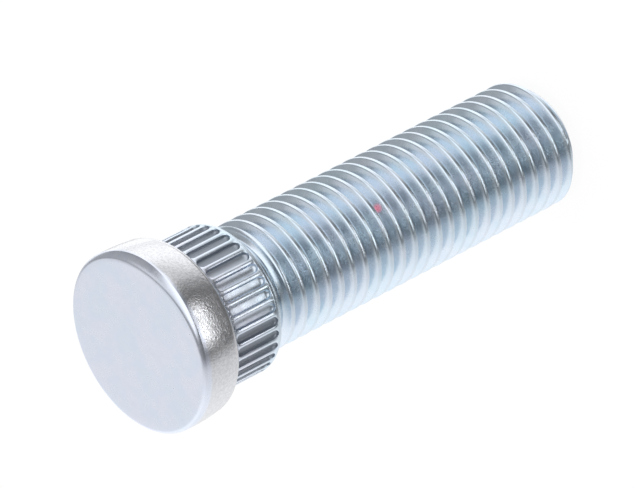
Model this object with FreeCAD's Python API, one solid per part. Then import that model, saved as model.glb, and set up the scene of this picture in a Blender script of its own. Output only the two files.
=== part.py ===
"""Press-in wheel stud: round head, straight-knurled collar, neck and threaded shank, one forged solid.

The stud stands on its chamfered end, with its axis on Z and the middle of that end at the origin.
"""
import math
import os

import FreeCAD
import Part

# Whole stud
total_length = 48.7

# Head
head_d = 17.1
head_t = 4.8
head_face_round = 0.65
head_back_round = 0.85

# Knurled collar
knurl_d = 14.2
knurl_length = 5.9
knurl_teeth = 34
groove_share = 0.6
groove_start = 0.45
groove_stop = 0.15
groove_runout_angle = 25.0
lead_length = 0.45
lead_depth = 0.4

# Neck between the collar and the thread
neck_d = 11.1
neck_length = 1.3
neck_root_taper = 0.4
runout_angle = 40.0

# Threaded shank at the thread's major diameter
thread_d = 12.0
end_chamfer_length = 1.2
end_chamfer_angle = 45.0

# Heights that follow from the sizes above
seat_z = total_length - head_t
collar_end_z = seat_z - knurl_length
neck_end_z = collar_end_z - neck_length
runout_z = neck_end_z - (thread_d - neck_d) / 2.0 / math.tan(math.radians(runout_angle))

# Groove size that follows from the tooth spacing
groove_r = math.pi * knurl_d / knurl_teeth * groove_share / 2.0
lead_r = knurl_d / 2.0 - lead_depth
end_r = thread_d / 2.0 - end_chamfer_length * math.tan(math.radians(end_chamfer_angle))


def point(r, z):
    """Place a point of the half section."""
    return FreeCAD.Vector(r, 0.0, z)


def line(a, b):
    """Join two section points by a straight edge."""
    return Part.makeLine(a, b)


def quarter(centre, radius, angle):
    """Draw a quarter circle about a section point, from the given angle onward."""
    ends = []
    for step in (0.0, 45.0, 90.0):
        turn = math.radians(angle + step)
        ends.append(centre + FreeCAD.Vector(radius * math.cos(turn), 0.0, radius * math.sin(turn)))
    return Part.Arc(ends[0], ends[1], ends[2]).toShape()


def stud_section():
    """Close the half section of the stud, walked from the end's middle up to the head's middle."""
    head_r = head_d / 2.0
    thread_r = thread_d / 2.0
    neck_r = neck_d / 2.0
    knurl_r = knurl_d / 2.0
    root = neck_root_taper
    face = head_face_round
    back = head_back_round
    edges = [
        line(point(0.0, 0.0), point(end_r, 0.0)),
        line(point(end_r, 0.0), point(thread_r, end_chamfer_length)),
        line(point(thread_r, end_chamfer_length), point(thread_r, runout_z)),
        line(point(thread_r, runout_z), point(neck_r, neck_end_z)),
        line(point(neck_r, neck_end_z), point(neck_r, collar_end_z - root)),
        line(point(neck_r, collar_end_z - root), point(neck_r + root, collar_end_z)),
        line(point(neck_r + root, collar_end_z), point(lead_r, collar_end_z)),
        line(point(lead_r, collar_end_z), point(knurl_r, collar_end_z + lead_length)),
        line(point(knurl_r, collar_end_z + lead_length), point(knurl_r, seat_z)),
        line(point(knurl_r, seat_z), point(head_r - back, seat_z)),
        quarter(point(head_r - back, seat_z + back), back, 270.0),
        line(point(head_r, seat_z + back), point(head_r, total_length - face)),
        quarter(point(head_r - face, total_length - face), face, 0.0),
        line(point(head_r - face, total_length), point(0.0, total_length)),
        line(point(0.0, total_length), point(0.0, 0.0)),
    ]
    return Part.Face(Part.Wire(Part.__sortEdges__(edges)))


def knurl_groove():
    """Make one half-round groove cutter, with slanted ends short of the head and the lead-in."""
    top_z = seat_z - groove_start
    low_z = collar_end_z + lead_length + groove_stop
    middle_z = (top_z + low_z) / 2.0
    half = (top_z - low_z) / 2.0
    cutter = Part.makeCylinder(groove_r, 2.0 * half, FreeCAD.Vector(0.0, 0.0, -half))
    for side in (1.0, -1.0):
        block = Part.makeBox(8.0 * groove_r, 8.0 * groove_r, 4.0 * groove_r)
        block.translate(FreeCAD.Vector(-4.0 * groove_r, -4.0 * groove_r, 0.0))
        block.rotate(FreeCAD.Vector(0.0, 0.0, 0.0), FreeCAD.Vector(0.0, 1.0, 0.0), -groove_runout_angle)
        block.translate(FreeCAD.Vector(0.0, 0.0, half))
        if side < 0.0:
            block = block.mirror(FreeCAD.Vector(0.0, 0.0, 0.0), FreeCAD.Vector(0.0, 0.0, 1.0))
        cutter = cutter.cut(block)
    cutter.translate(FreeCAD.Vector(knurl_d / 2.0, 0.0, middle_z))
    return cutter


def wheel_stud():
    """Turn the section into the blank and cut the grooves round the collar."""
    middle = FreeCAD.Vector(0.0, 0.0, 0.0)
    up = FreeCAD.Vector(0.0, 0.0, 1.0)
    blank = stud_section().revolve(middle, up, 360.0)
    cutters = []
    for tooth in range(knurl_teeth):
        cutter = knurl_groove()
        cutter.rotate(middle, up, (tooth + 0.5) * 360.0 / knurl_teeth)
        cutters.append(cutter)
    return blank.cut(cutters)


os.makedirs("parts", exist_ok=True)
stud = wheel_stud()
solid = stud.Solids[0]
print("wheel_stud: solids", len(stud.Solids), "valid", solid.isValid(), "volume mm3", round(solid.Volume, 1))
solid.exportStep("parts/wheel_stud.step")
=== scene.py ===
import math

import bpy
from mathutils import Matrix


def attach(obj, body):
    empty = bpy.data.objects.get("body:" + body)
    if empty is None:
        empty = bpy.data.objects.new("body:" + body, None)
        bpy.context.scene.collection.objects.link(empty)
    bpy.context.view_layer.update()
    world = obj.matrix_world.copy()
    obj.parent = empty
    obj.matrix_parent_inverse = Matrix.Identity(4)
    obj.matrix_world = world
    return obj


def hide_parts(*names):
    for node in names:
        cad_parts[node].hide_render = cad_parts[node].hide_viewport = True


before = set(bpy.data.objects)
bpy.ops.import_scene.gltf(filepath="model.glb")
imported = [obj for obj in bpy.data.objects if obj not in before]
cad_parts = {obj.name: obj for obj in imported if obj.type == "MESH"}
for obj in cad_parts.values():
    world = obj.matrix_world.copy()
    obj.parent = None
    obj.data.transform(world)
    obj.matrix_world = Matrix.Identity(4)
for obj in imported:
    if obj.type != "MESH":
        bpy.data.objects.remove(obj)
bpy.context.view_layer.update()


# The wheel stud: one piece of steel, cold-headed, with the knurl and the thread rolled in, then zinc plated.
# It is pressed into a hub flange up to its head, and stands here on its chamfered end.

# Thread: M12 with a pitch of 1.5 mm, from the chamfered end up to its run-out in the neck
mm = 0.001
thread_r = 6.0 * mm
thread_pitch = 1.5 * mm
thread_turns = 28
thread_steps = 128
thread_start = 0.227 * mm - 2 * thread_pitch
root_r = 5.125 * mm
root_round = 0.09 * mm
crest_round = 0.16 * mm
crest_flat = 0.10 * mm
root_angles = (0.0, 30.0, 60.0)
crest_angles = (60.0, 45.0, 30.0, 15.0, 0.0)
flank_shares = (0.12, 0.88)
end_r = 4.8 * mm
runout_low = 35.8 * mm
runout_high = 37.1 * mm
neck_r = 5.55 * mm
neck_joint = 37.3 * mm
weld_gap = 0.002 * mm
cut_gap = 0.0001 * mm


def draw_line(name, points):
    """Draw an open line of edges in the XZ plane, one extrusion after another."""
    bpy.ops.object.select_all(action="DESELECT")
    bpy.ops.mesh.primitive_plane_add(size=1 * mm)
    line = bpy.context.object
    line.name = name
    bpy.ops.object.mode_set(mode="EDIT")
    bpy.ops.mesh.select_all(action="SELECT")
    bpy.ops.mesh.merge(type="CENTER")
    bpy.ops.transform.translate(value=(points[0][0], 0.0, points[0][1]))
    for here, there in zip(points, points[1:]):
        step = (there[0] - here[0], 0.0, there[1] - here[1])
        bpy.ops.mesh.extrude_region_move(TRANSFORM_OT_translate={"value": step})
    bpy.ops.object.mode_set(mode="OBJECT")
    return line


# Half a pitch from the root's middle to the crest's, as distance along the axis and radius
root = []
for angle in root_angles:
    a = math.radians(angle)
    root.append((thread_pitch / 2 - root_round * math.sin(a), root_r + root_round * (1 - math.cos(a))))
crest = []
for angle in crest_angles:
    a = math.radians(angle)
    crest.append((crest_flat + crest_round * math.sin(a), thread_r - crest_round * (1 - math.cos(a))))
flank = [[f + (s - f) * share for f, s in zip(root[-1], crest[0])] for share in flank_shares]
half_pitch = root + flank + crest

# One whole pitch, root to root, screwed up the shank and cut off level at the end and at the neck
section = [(r, thread_start - z) for z, r in half_pitch]
section += [(r, thread_start + z) for z, r in reversed(half_pitch)]
stud = draw_line("wheel_stud_plated", section)
screw = stud.modifiers.new("thread", "SCREW")
screw.axis = "Z"
screw.angle = math.radians(360.0)
screw.screw_offset = thread_pitch
screw.iterations = thread_turns
screw.steps = thread_steps
screw.render_steps = thread_steps
screw.use_merge_vertices = True
screw.merge_threshold = cut_gap
bpy.ops.object.modifier_apply(modifier=screw.name)
bpy.ops.object.mode_set(mode="EDIT")
bpy.ops.mesh.select_all(action="SELECT")
bpy.ops.mesh.remove_doubles(threshold=weld_gap)
bpy.ops.mesh.bisect(plane_co=(0, 0, 0), plane_no=(0, 0, 1), clear_inner=True, threshold=cut_gap)
bpy.ops.mesh.select_all(action="SELECT")
bpy.ops.mesh.bisect(plane_co=(0, 0, neck_joint), plane_no=(0, 0, 1), clear_outer=True, threshold=cut_gap)
bpy.ops.object.mode_set(mode="OBJECT")

# The thread starts on the end's 45 degree chamfer and fades at its upper end into the neck
for v in stud.data.vertices:
    r = math.hypot(v.co.x, v.co.y)
    cut_r = min(r, end_r + max(v.co.z, 0.0))
    fade = min(max((runout_high - v.co.z) / (runout_high - runout_low), 0.0), 1.0)
    new_r = neck_r + (cut_r - neck_r) * fade * fade * (3 - 2 * fade)
    v.co.x *= new_r / r
    v.co.y *= new_r / r

# Neck: a short plain length with a fillet up to the collar
joint_gap = 0.05 * mm
collar_low = 38.0 * mm
fillet_width = 0.70 * mm
fillet_height = 0.55 * mm
rise = [(neck_r, neck_joint + joint_gap)]
for angle in (0, 18, 36, 54, 72, 90):
    a = math.radians(angle)
    rise.append((neck_r + fillet_width * (1 - math.cos(a)), collar_low - fillet_height * (1 - math.sin(a))))

# Collar: a rounded lead-in, the rows that the grooves need at their round ends and, to be shaded straight,
# along them, and a small fillet under the head
lead_r = 6.68 * mm
lead_width = 0.42 * mm
lead_height = 0.48 * mm
knurl_r = 7.1 * mm
knurl_teeth = 34
tooth_columns = 12
groove_low = 38.55 * mm
groove_high = 43.45 * mm
groove_half = 0.455 * mm
straight_rows = (39.8 * mm, 40.7 * mm, 41.6 * mm, 42.4 * mm)
seat_height = 43.9 * mm
seat_fillet_width = 0.10 * mm
seat_fillet_height = 0.28 * mm
for k in range(9):
    a = math.radians(90.0 * k / 8)
    rise.append((lead_r + lead_width * math.sin(a), collar_low + lead_height * (1 - math.cos(a))))
end_rows = [groove_half * (1 - math.cos(math.radians(angle))) for angle in (0, 12, 24, 36, 50, 66, 90)]
rise += [(knurl_r, groove_low + row) for row in end_rows]
rise += [(knurl_r, height) for height in straight_rows]
rise += [(knurl_r, groove_high - row) for row in reversed(end_rows)]
for angle in (0, 40, 90):
    a = math.radians(angle)
    out = knurl_r + seat_fillet_width * (1 - math.cos(a))
    rise.append((out, seat_height - seat_fillet_height * (1 - math.sin(a))))

# Head: a rounded back edge, a slightly barrelled side, a rounded face edge and a flat face
head_r = 8.55 * mm
stud_top = 48.7 * mm
widest_height = 47.5 * mm
side_bow = 0.026 / mm
side_rows = 9
back_round = 1.15 * mm
face_round = 0.66 * mm
face_flat_r = 7.6 * mm
face_hole_r = 0.5 * mm
side_low = seat_height + back_round
side_high = stud_top - face_round
back_r = head_r - side_bow * (side_low - widest_height) ** 2
rim_r = head_r - side_bow * (side_high - widest_height) ** 2
for k in range(10):
    a = math.radians(10.0 * k)
    rise.append((back_r - back_round * (1 - math.sin(a)), seat_height + back_round * (1 - math.cos(a))))
for k in range(1, side_rows):
    z = side_low + (side_high - side_low) * k / side_rows
    rise.append((head_r - side_bow * (z - widest_height) ** 2, z))
for k in range(10):
    a = math.radians(10.0 * k)
    rise.append((rim_r - face_round * (1 - math.cos(a)), stud_top - face_round * (1 - math.sin(a))))
rise += [(face_flat_r, stud_top), (face_hole_r, stud_top)]

# Neck, collar and head are spun in one, with a set of columns for each knurl tooth
upper = draw_line("upper", rise)
bpy.ops.object.mode_set(mode="EDIT")
bpy.ops.mesh.select_all(action="SELECT")
full_turn = math.radians(360.0)
bpy.ops.mesh.spin(steps=knurl_teeth * tooth_columns, angle=full_turn, center=(0, 0, 0), axis=(0, 0, 1))
bpy.ops.mesh.select_all(action="SELECT")
bpy.ops.mesh.remove_doubles(threshold=weld_gap)
bpy.ops.object.mode_set(mode="OBJECT")

# Each tooth's columns close up on its rounded ridge and sink into its groove, which is round at both ends
tooth = full_turn / knurl_teeth
groove_depth = 0.40 * mm
groove_fullness = 6
groove_columns = {2: 1.0, 3: 0.94, 4: 0.78, 5: 0.42, 6: 0.0}
ridge_drop = 0.065 * mm
shoulder_share = 0.28
least_width = 0.3 * groove_half
row_reach = 0.01 * mm
for v in upper.data.vertices:
    if groove_low - row_reach < v.co.z < groove_high + row_reach:
        turn = math.atan2(v.co.y, v.co.x) / tooth
        middle = round(turn)
        column = round((turn - middle) * tooth_columns)
        if column == 0:
            continue
        beyond = max(groove_low + groove_half - v.co.z, v.co.z - groove_high + groove_half, 0.0)
        half = math.sqrt(max(groove_half ** 2 - beyond ** 2, 0.0))
        opened = half / groove_half
        width = max(half, least_width)
        if abs(column) == 1:
            sink = shoulder_share * ridge_drop * opened
            turned = tooth / 4 - width / knurl_r / 2
        else:
            side = groove_columns[abs(column)]
            sink = groove_depth * math.sqrt(1 - side ** groove_fullness) * math.sqrt(opened)
            sink = max(sink, ridge_drop * opened)
            turned = tooth / 2 - side * width / knurl_r
        spread = middle * tooth + math.copysign(turned, column)
        v.co.x = (knurl_r - sink) * math.cos(spread)
        v.co.y = (knurl_r - sink) * math.sin(spread)

# The face's edge is broken wider and flatter on one side and is tighter round the rest
broken_side = math.radians(-46.0)
broken_power = 4
tight_share = 0.62
flattening = 0.6
for v in upper.data.vertices:
    r = math.hypot(v.co.x, v.co.y)
    if v.co.z > side_high - row_reach and r > rim_r - face_round - row_reach:
        broken = max(math.cos(math.atan2(v.co.y, v.co.x) - broken_side), 0.0) ** broken_power
        reach = face_round * (tight_share + (1.0 - tight_share) * broken)
        flatter = 1.0 + flattening * broken
        out = min(max(1.0 - (rim_r - r) / face_round, 0.0), 1.0) ** flatter
        up = min(max(1.0 - (stud_top - v.co.z) / face_round, 0.0), 1.0) ** flatter
        new_r = rim_r - reach * (1.0 - out)
        v.co.x *= new_r / r
        v.co.y *= new_r / r
        v.co.z = stud_top - reach * (1.0 - up)

# The two lengths become one closed body: bridged at the neck, capped at the end and at the head's middle
rims = {"end": 0.0, "joint": neck_joint, "face": stud_top}
rim_reach = 0.1 * mm
cap_inset = 0.15 * mm
smooth_angle = math.radians(38.0)
bpy.ops.object.select_all(action="DESELECT")
upper.select_set(True)
stud.select_set(True)
bpy.context.view_layer.objects.active = stud
bpy.ops.object.join()
bpy.ops.object.mode_set(mode="EDIT")
bpy.ops.mesh.select_mode(type="EDGE")
bpy.ops.mesh.select_all(action="DESELECT")
bpy.ops.object.mode_set(mode="OBJECT")
uses = {}
for p in stud.data.polygons:
    for key in p.edge_keys:
        uses[key] = uses.get(key, 0) + 1
for rim, height in rims.items():
    for e in stud.data.edges:
        z = stud.data.vertices[e.vertices[0]].co.z
        e.select = uses.get(e.key, 0) == 1 and abs(z - height) < rim_reach
    bpy.ops.object.mode_set(mode="EDIT")
    if rim == "joint":
        bpy.ops.mesh.bridge_edge_loops()
    else:
        bpy.ops.mesh.edge_face_add()
        bpy.ops.mesh.select_mode(type="FACE")
        bpy.ops.mesh.inset(thickness=cap_inset)
        bpy.ops.mesh.select_mode(type="EDGE")
    bpy.ops.mesh.select_all(action="DESELECT")
    bpy.ops.object.mode_set(mode="OBJECT")
bpy.ops.object.mode_set(mode="EDIT")
bpy.ops.mesh.select_all(action="SELECT")
bpy.ops.mesh.normals_make_consistent(inside=False)
bpy.ops.object.mode_set(mode="OBJECT")
bpy.ops.object.shade_smooth_by_angle(angle=smooth_angle)


def colour(code):
    """Turn a written colour into the linear values that the shader takes."""
    parts = [int(code[k:k + 2], 16) / 255 for k in (1, 3, 5)]
    return [p / 12.92 if p <= 0.04045 else ((p + 0.055) / 1.055) ** 2.4 for p in parts] + [1.0]


def add_node(tree, kind, settings=None, values=None, links=None):
    """Add a node, set it and join its inputs to other nodes' outputs."""
    node = tree.nodes.new(kind)
    for key, value in (settings or {}).items():
        setattr(node, key, value)
    for key, value in (values or {}).items():
        node.inputs[key].default_value = value
    for key, socket in (links or {}).items():
        tree.links.new(socket, node.inputs[key])
    return node


# Bright zinc plating with a clear passivation: blue-white satin metal, faintly clouded, with a pale bloom
plating = bpy.data.materials.new("bright_zinc_plating")
plating.use_nodes = True
tree = plating.node_tree
shader = tree.nodes["Principled BSDF"]
shader.inputs["Metallic"].default_value = 1.0

# Where a point lies: its height, its radius, how far it faces the side where the lamp shows, how far off the
# fleck is
# The side of the knurl where the lamp shows in its grooves; the grooves' painted shade is mostly lifted
# there
lamp_lit_side = (-0.052, -0.9986, 0.0)
fleck_place = (1.0 * mm, -5.4 * mm, 23.15 * mm)
place = add_node(tree, "ShaderNodeTexCoord").outputs["Object"]
axes = add_node(tree, "ShaderNodeSeparateXYZ", links={"Vector": place}).outputs
flat = add_node(tree, "ShaderNodeCombineXYZ", links={"X": axes["X"], "Y": axes["Y"]}).outputs["Vector"]
radius = add_node(tree, "ShaderNodeVectorMath", {"operation": "LENGTH"}, None, {0: flat})
outward = add_node(tree, "ShaderNodeVectorMath", {"operation": "NORMALIZE"}, None, {0: flat})
links = {0: outward.outputs["Vector"]}
toward = add_node(tree, "ShaderNodeVectorMath", {"operation": "DOT_PRODUCT"}, {1: lamp_lit_side}, links)
away = add_node(tree, "ShaderNodeVectorMath", {"operation": "DISTANCE"}, {1: fleck_place}, {0: place})
coat = {"height": axes["Z"]}
coat["radius"] = radius.outputs["Value"]
coat["toward"] = toward.outputs["Value"]
coat["away"] = away.outputs["Value"]

# Patterns by the size of their spots, with detail and roughness: clouds and dents of about 1 mm, bloom over
# 3 mm, and the grain of the plating and of the heading die at 0.2 mm, which is as fine as the picture shows
patterns = {
    "cloud": (1.1111 * mm, 4.0, 0.6),
    "bloom": (3.0303 * mm, 2.0, 0.5),
    "dents": (0.90909 * mm, 2.0, 0.5),
    "grain": (0.192308 * mm, 3.0, 0.6),
    "die_grain": (0.217391 * mm, 2.0, 0.6),
}
for name, (spot, detail, roughness) in patterns.items():
    values = {"Scale": 1.0 / spot, "Detail": detail, "Roughness": roughness}
    noise = add_node(tree, "ShaderNodeTexNoise", None, values, {"Vector": place})
    coat[name] = noise.outputs["Fac"]

# Passages from one value to another: what is read, where it starts and ends, and the value at either end
knurl_edge = 0.05 * mm
side_edge = 0.2 * mm
side_from = seat_height + 0.4 * mm
side_to = stud_top - 0.8 * mm
even_passages = {
    "cloud_part": ("cloud", 0.35, 0.65, 0.0, 1.0),
    "bloom_part": ("bloom", 0.38, 0.62, 0.0, 1.0),
    "die_part": ("die_grain", 0.40, 0.62, 1.0, 0.0),
    "satin": ("cloud", 0.3, 0.7, 0.20, 0.30),
    "on_edge": ("radius", 7.9 * mm, 8.2 * mm, 0.0, 1.0),
}
soft_passages = {
    "on_head": ("height", neck_joint, seat_height, 0.0, 1.0),
    "over_groove_low": ("height", groove_low - knurl_edge, groove_low + knurl_edge, 0.0, 1.0),
    "under_groove_high": ("height", groove_high - knurl_edge, groove_high + knurl_edge, 1.0, 0.0),
    "in_groove": ("radius", knurl_r - 0.16 * mm, knurl_r - 0.02 * mm, 0.85, 0.0),
    # Painted shade in the grooves: full away from the lamp's side, mostly lifted where the lamp shows
    "away_from_lamp": ("toward", 0.87, 0.985, 1.0, 0.15),
    "over_back": ("height", side_from - side_edge, side_from + side_edge, 0.0, 1.0),
    "under_face": ("height", side_to - side_edge, side_to + side_edge, 1.0, 0.0),
    "fleck": ("away", 0.25 * mm, 0.6 * mm, 0.62, 0.0),
}
for kind, passages in (("LINEAR", even_passages), ("SMOOTHSTEP", soft_passages)):
    for name, (reads, start, end, first, last) in passages.items():
        values = {"From Min": start, "From Max": end, "To Min": first, "To Max": last}
        links = {"Value": coat[reads]}
        passage = add_node(tree, "ShaderNodeMapRange", {"interpolation_type": kind}, values, links)
        coat[name] = passage.outputs["Result"]

# Painted shade darkens the knurl grooves and is mostly lifted on the side where the lamp shows; the head's
# side keeps the die's grey skin
areas = {
    "painted_groove_shade": ("over_groove_low", "under_groove_high", "in_groove", "away_from_lamp"),
    "forged": ("over_back", "under_face", "on_edge"),
}
for name, limits in areas.items():
    area = coat[limits[0]]
    for limit in limits[1:]:
        links = {0: area, 1: coat[limit]}
        area = add_node(tree, "ShaderNodeMath", {"operation": "MULTIPLY"}, None, links).outputs[0]
    coat[name] = area

# Colours, each mixed by a share from two written colours or earlier mixes: the zinc of the thread and of the
# head, then the grooves' painted shade, the die's skin and one red fleck on the thread
mixes = {
    "thread_cool": ("cloud_part", "#CDDDE9", "#D6E4EE"),
    "thread_warm": ("cloud_part", "#D2DDE9", "#DAE3EE"),
    "thread_zinc": ("bloom_part", "thread_cool", "thread_warm"),
    "head_cool": ("cloud_part", "#D8E0EE", "#DFE6F1"),
    "head_warm": ("cloud_part", "#DCE0EE", "#E3E6F1"),
    "head_zinc": ("bloom_part", "head_cool", "head_warm"),
    "zinc": ("on_head", "thread_zinc", "head_zinc"),
    # A darker painted shade colour for the knurl grooves
    "groove_shaded_zinc": ("painted_groove_shade", "zinc", "#8A9099"),
    "die_grey": ("die_part", "#D5D5D8", "#E0E1E5"),
    "whole_zinc": ("forged", "groove_shaded_zinc", "die_grey"),
    "flecked_zinc": ("fleck", "whole_zinc", "#FF86A2"),
}
mix_sockets = (6, 7)
for name, (share, first, second) in mixes.items():
    values = {}
    links = {"Factor": coat[share]}
    for socket, end in zip(mix_sockets, (first, second)):
        if end.startswith("#"):
            values[socket] = colour(end)
        else:
            links[socket] = coat[end]
    coat[name] = add_node(tree, "ShaderNodeMix", {"data_type": "RGBA"}, values, links).outputs[2]
tree.links.new(coat["flecked_zinc"], shader.inputs["Base Color"])
bare = add_node(tree, "ShaderNodeMath", {"operation": "SUBTRACT"}, {0: 1.0}, {1: coat["fleck"]})
tree.links.new(bare.outputs[0], shader.inputs["Metallic"])

# Satin all over, a little glossier on the forged side and duller in the grooves' painted shade
gloss = coat["satin"]
for area, change in (("forged", -0.03), ("painted_groove_shade", 0.2)):
    links = {0: coat[area], 2: gloss}
    gloss = add_node(tree, "ShaderNodeMath", {"operation": "MULTIPLY_ADD"}, {1: change}, links).outputs[0]
tree.links.new(gloss, shader.inputs["Roughness"])

# Fine grain everywhere, slow dents from rolling, and the heading die's coarse grain on the head's side
links = {"Height": coat["grain"]}
fine = add_node(tree, "ShaderNodeBump", None, {"Strength": 0.15, "Distance": 0.008 * mm}, links)
links = {"Height": coat["dents"], "Normal": fine.outputs["Normal"]}
slow = add_node(tree, "ShaderNodeBump", None, {"Strength": 0.25, "Distance": 0.035 * mm}, links)
links = {"Strength": coat["forged"], "Height": coat["die_grain"], "Normal": slow.outputs["Normal"]}
rasp = add_node(tree, "ShaderNodeBump", None, {"Distance": 0.017 * mm}, links)
tree.links.new(rasp.outputs["Normal"], shader.inputs["Normal"])
stud.data.materials.clear()
stud.data.materials.append(plating)
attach(stud, "root")
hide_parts("wheel_stud")


# Floor: a plain sheet of matt white paper, laid flat under the stud and wider than the picture.
# It shows nearly white to the camera, with only a faint soft shadow of the stud.
sheet_size = 3.0
sheet_height = -0.02 * mm
paper_roughness = 0.9
paper_glow = 0.95
bpy.ops.object.select_all(action="DESELECT")
bpy.ops.mesh.primitive_plane_add(size=sheet_size, location=(0, 0, sheet_height))
sheet = bpy.context.object
sheet.name = "floor"
paper = bpy.data.materials.new("white_sheet")
paper.use_nodes = True
tree = paper.node_tree
shader = tree.nodes["Principled BSDF"]
shader.inputs["Base Color"].default_value = colour("#F2F2F2")
shader.inputs["Roughness"].default_value = paper_roughness
glow = add_node(tree, "ShaderNodeEmission", values={"Color": colour("#FFFFFF"), "Strength": 1.0})
seen = add_node(tree, "ShaderNodeLightPath").outputs["Is Camera Ray"]
part = add_node(tree, "ShaderNodeMath", {"operation": "MULTIPLY"}, {1: paper_glow}, {0: seen})
links = {"Fac": part.outputs[0], 1: shader.outputs[0], 2: glow.outputs[0]}
lit = add_node(tree, "ShaderNodeMixShader", None, None, links)
tree.links.new(lit.outputs[0], tree.nodes["Material Output"].inputs["Surface"])
sheet.data.materials.append(paper)
sheet.visible_glossy = False


# Light: a small photo tent, with a white cloth ceiling over the stud, a white table below it and grey walls.
# The ceiling has one dark corner and one dimmer patch, a white backdrop stands behind, and a small lamp
# low down gives the head's side and the thread's crests their sparkle.
world = bpy.data.worlds.new("studio")
bpy.context.scene.world = world
world.use_nodes = True
tree = world.node_tree
tree.nodes.clear()
way = add_node(tree, "ShaderNodeTexCoord").outputs["Generated"]
ways = add_node(tree, "ShaderNodeSeparateXYZ", links={"Vector": way}).outputs
one = add_node(tree, "ShaderNodeValue").outputs[0]
one.default_value = 1.0
room = {"one": one, "X": ways["X"], "Y": ways["Y"], "Z": ways["Z"]}
facings = {
    "over": (0.7501, -0.6613, 0.0),
    "right": (-0.458, -0.520, -0.721),
    "ahead": (0.0, 0.813, -0.583),
}
for name, facing in facings.items():
    dot = add_node(tree, "ShaderNodeVectorMath", {"operation": "DOT_PRODUCT"}, {1: facing}, {0: way})
    room[name] = dot.outputs["Value"]

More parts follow.
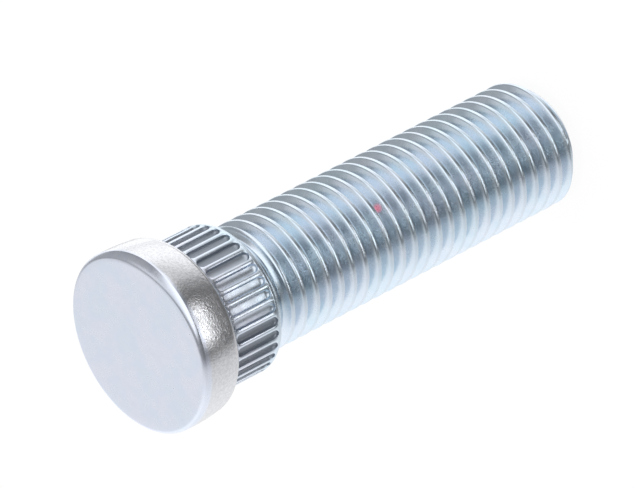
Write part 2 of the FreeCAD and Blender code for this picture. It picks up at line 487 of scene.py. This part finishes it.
# Each line is a soft edge, which reads a direction and gives its start, its end and the level at either end,
# or it adds, subtracts, multiplies or takes the largest of lines above it
tent = {
    "wall_fall": ("right", -1.0, 0.2, 0.45, 0.19),
    "wall_foot": ("over", -0.25, 0.05, 0.85, 1.0),
    "walls": ("MULTIPLY", "wall_fall", "wall_foot"),
    "table_lean": ("right", -0.5, 0.3, 0.0, 0.1),
    "table_tilt": ("SUBTRACT", "over", "table_lean"),
    "table_edge": ("table_tilt", -0.50, -0.11, 1.0, 0.0),
    "table_depth": ("over", -0.9, -0.45, 1.2, 0.92),
    "table_fall": ("right", -0.3, 0.3, 1.0, 0.9),
    "table": ("MULTIPLY", "table_edge", "table_depth", "table_fall"),
    "ceiling_lean": ("right", -0.1, 0.4, 0.0, 0.22),
    "ceiling_tilt": ("SUBTRACT", "over", "ceiling_lean"),
    "ceiling_edge": ("ceiling_tilt", 0.06, 0.27, 0.0, 1.0),
    "near_slant": ("ahead", -1.0, -0.38, -0.44, 0.0),
    "far_slant": ("ahead", -0.4, 0.2, 0.0, -0.24),
    "ceiling_side": ("ADD", "right", "near_slant", "far_slant"),
    "ceiling_end": ("ceiling_side", 0.08, 0.68, 1.0, 0.0),
    "ceiling_rise": ("right", -0.9, -0.1, 0.86, 1.4),
    "corner_lift": ("over", 0.38, 0.62, 0.0, 0.46),
    "corner_tilt": ("ADD", "ahead", "corner_lift"),
    "corner_edge": ("corner_tilt", -0.24, -0.02, 0.0, 1.0),
    "corner_side": ("right", -0.45, -0.22, 1.0, 0.0),
    "corner": ("MULTIPLY", "corner_side", "corner_edge"),
    "beside_corner": ("SUBTRACT", "one", "corner"),
    "shade_side": ("right", -0.1, 0.12, 0.0, 1.0),
    "shade_over": ("over", 0.6, 0.84, 0.0, 0.5),
    "shade_ahead": ("ahead", -0.25, 0.0, 0.0, 1.0),
    "shade": ("MULTIPLY", "shade_side", "shade_over", "shade_ahead"),
    "beside_shade": ("SUBTRACT", "one", "shade"),
    "white_cloth": ("MULTIPLY", "ceiling_edge", "ceiling_end", "ceiling_rise"),
    "ceiling": ("MULTIPLY", "white_cloth", "beside_corner", "beside_shade"),
    "backdrop_rise": ("ahead", 0.45, 0.88, 0.0, 1.4),
    "backdrop_foot": ("over", -0.45, -0.2, 0.0, 1.0),
    "backdrop": ("MULTIPLY", "backdrop_rise", "backdrop_foot"),
    "lamp_left": ("X", -0.62, -0.42, 0.0, 1.0),
    "lamp_right": ("X", 0.0, 0.3, 1.0, 0.0),
    "lamp_low": ("Z", -0.625, -0.57, 0.0, 3.3),
    "lamp_high": ("Z", -0.54, -0.48, 1.0, 0.0),
    "lamp_back": ("Y", -0.3, 0.0, 1.0, 0.0),
    "lamp": ("MULTIPLY", "lamp_left", "lamp_right", "lamp_low", "lamp_high", "lamp_back"),
    "level": ("MAXIMUM", "walls", "table", "ceiling", "backdrop", "lamp"),
}
for name, (start_with, *rest) in tent.items():
    if start_with in room:
        start, end, first, last = rest
        values = {"From Min": start, "From Max": end, "To Min": first, "To Max": last}
        links = {"Value": room[start_with]}
        edge = add_node(tree, "ShaderNodeMapRange", {"interpolation_type": "SMOOTHSTEP"}, values, links)
        room[name] = edge.outputs["Result"]
    else:
        total = room[rest[0]]
        for line in rest[1:]:
            links = {0: total, 1: room[line]}
            total = add_node(tree, "ShaderNodeMath", {"operation": start_with}, None, links).outputs[0]
        room[name] = total
tent_white = (0.99, 0.995, 1.0, 1.0)
inside = add_node(tree, "ShaderNodeBackground", None, {"Color": tent_white}, {"Strength": room["level"]})
white = add_node(tree, "ShaderNodeBackground", None, {"Color": colour("#FFFFFF"), "Strength": 1.0})
seen = add_node(tree, "ShaderNodeLightPath").outputs["Is Camera Ray"]
links = {"Fac": seen, 1: inside.outputs[0], 2: white.outputs[0]}
both = add_node(tree, "ShaderNodeMixShader", None, None, links)
add_node(tree, "ShaderNodeOutputWorld", links={"Surface": both.outputs[0]})

# A wide soft lamp above adds to the shadow on the paper and doesn't show in the metal
soft_top = bpy.data.lights.new("soft_top", "AREA")
soft_top.shape = "DISK"
soft_top.size = 0.6
soft_top.energy = 6.0
top = bpy.data.objects.new("soft_top", soft_top)
top.location = (0.1, 0.1, 0.8)
top.visible_glossy = False
bpy.context.scene.collection.objects.link(top)


# Camera: a long lens about 0.8 m away, above the head and rolled as in the photograph.
# Its place, turn and lens were fitted to the stud's outline.
lens = bpy.data.cameras.new("photo_camera")
lens.sensor_width = 36.0
lens.lens = 523.2
lens.clip_start = 0.05
lens.clip_end = 10.0
eye_turn = (-32.4421, 46.1425, -131.3976)
eye = bpy.data.objects.new("photo_camera", lens)
eye.location = (0.000608, -0.658498, 0.501412)
eye.rotation_euler = [math.radians(a) for a in eye_turn]
bpy.context.scene.collection.objects.link(eye)
bpy.context.scene.camera = eye
bpy.context.scene.view_settings.view_transform = "Standard"
